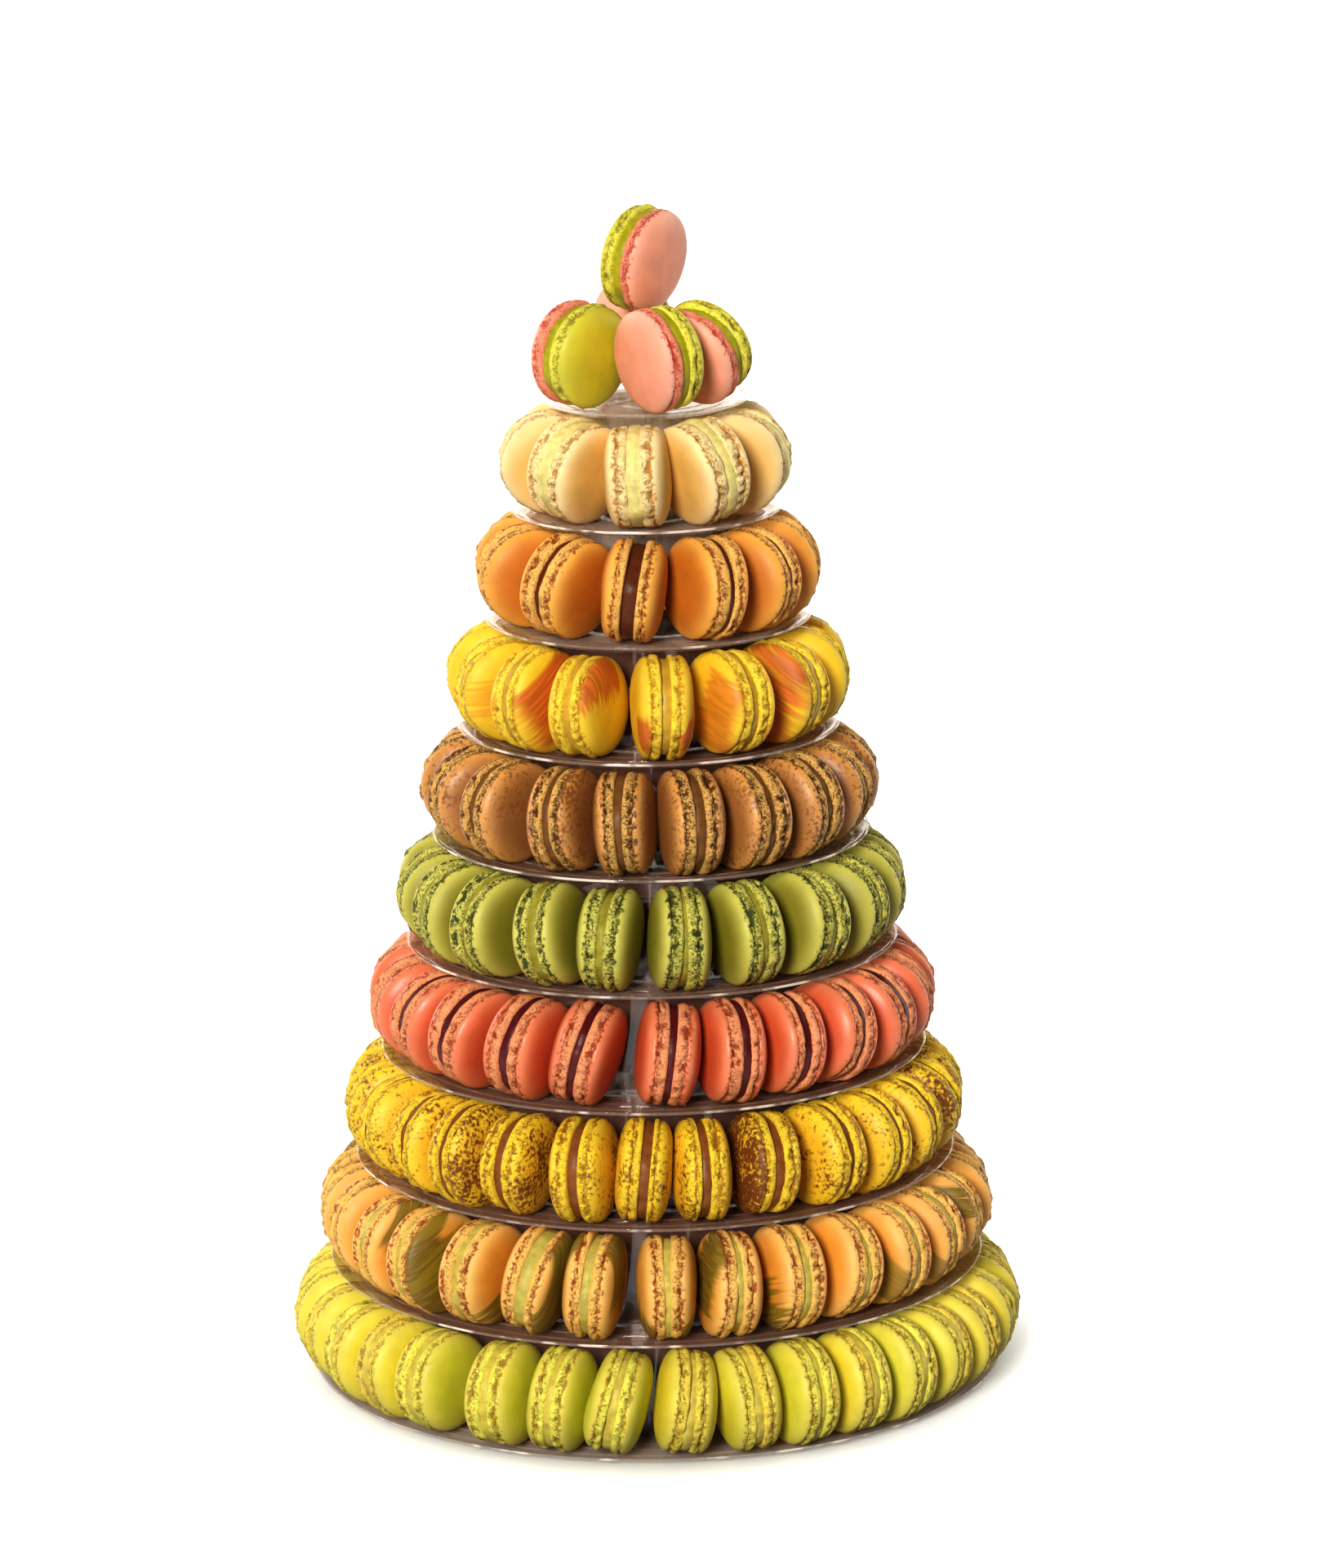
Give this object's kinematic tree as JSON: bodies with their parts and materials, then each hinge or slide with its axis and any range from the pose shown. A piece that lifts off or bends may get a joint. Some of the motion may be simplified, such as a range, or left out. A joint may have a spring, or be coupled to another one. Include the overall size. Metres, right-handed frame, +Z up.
{
  "type": "macaron tower",
  "caption": "Cone-shaped tower of macarons standing on edge in rings of changing colour, on a stand of stacked clear ring trays, with a small pile on top.",
  "frame": {"origin": "centre of the bottom tray's underside, on the surface the stand rests on", "axes": "+Z up along the tower's axis, -Y the side seen in the picture, +X to its right"},
  "size_m": [0.3291, 0.3291, 0.5279],
  "materials": {
    "lime_shell": "baked almond shell, satin and slightly uneven",
    "apricot_shell": "baked almond shell, satin and slightly uneven",
    "lemon_shell": "baked almond shell, satin and slightly uneven",
    "coral_shell": "baked almond shell, satin and slightly uneven",
    "pistachio_shell": "baked almond shell, satin and slightly uneven",
    "coffee_shell": "baked almond shell, satin and slightly uneven",
    "saffron_shell": "baked almond shell, satin and slightly uneven",
    "caramel_shell": "baked almond shell, satin and slightly uneven",
    "vanilla_shell": "baked almond shell, satin and slightly uneven",
    "clear_tray": "clear thin moulded plastic, glossy",
    "pink_shell": "baked almond shell, satin and slightly uneven",
    "green_shell": "baked almond shell, satin and slightly uneven",
    "filling": "soft cream filling, slightly glossy"
  },
  "bodies": {
    "root": {"ring_1": "lime_shell", "ring_2": "apricot_shell", "ring_3": "lemon_shell", "ring_4": "coral_shell", "ring_5": "pistachio_shell", "ring_6": "coffee_shell", "ring_7": "saffron_shell", "ring_8": "caramel_shell", "ring_9": "vanilla_shell", "tray_1": "clear_tray", "tray_2": "clear_tray", "tray_3": "clear_tray", "tray_4": "clear_tray", "tray_5": "clear_tray", "tray_6": "clear_tray", "tray_7": "clear_tray", "tray_8": "clear_tray", "tray_9": "clear_tray", "tray_10": "clear_tray", "top_1_shell_a": "pink_shell", "top_1_filling": "filling", "top_1_shell_b": "green_shell", "top_2_shell_a": "pink_shell", "top_2_filling": "filling", "top_2_shell_b": "green_shell", "top_3_shell_a": "pink_shell", "top_3_filling": "filling", "top_3_shell_b": "green_shell", "top_4_shell_a": "pink_shell", "top_4_filling": "filling", "top_4_shell_b": "green_shell", "top_5_shell_a": "green_shell", "top_5_filling": "filling", "top_5_shell_b": "pink_shell"}
  },
  "joints": []
}
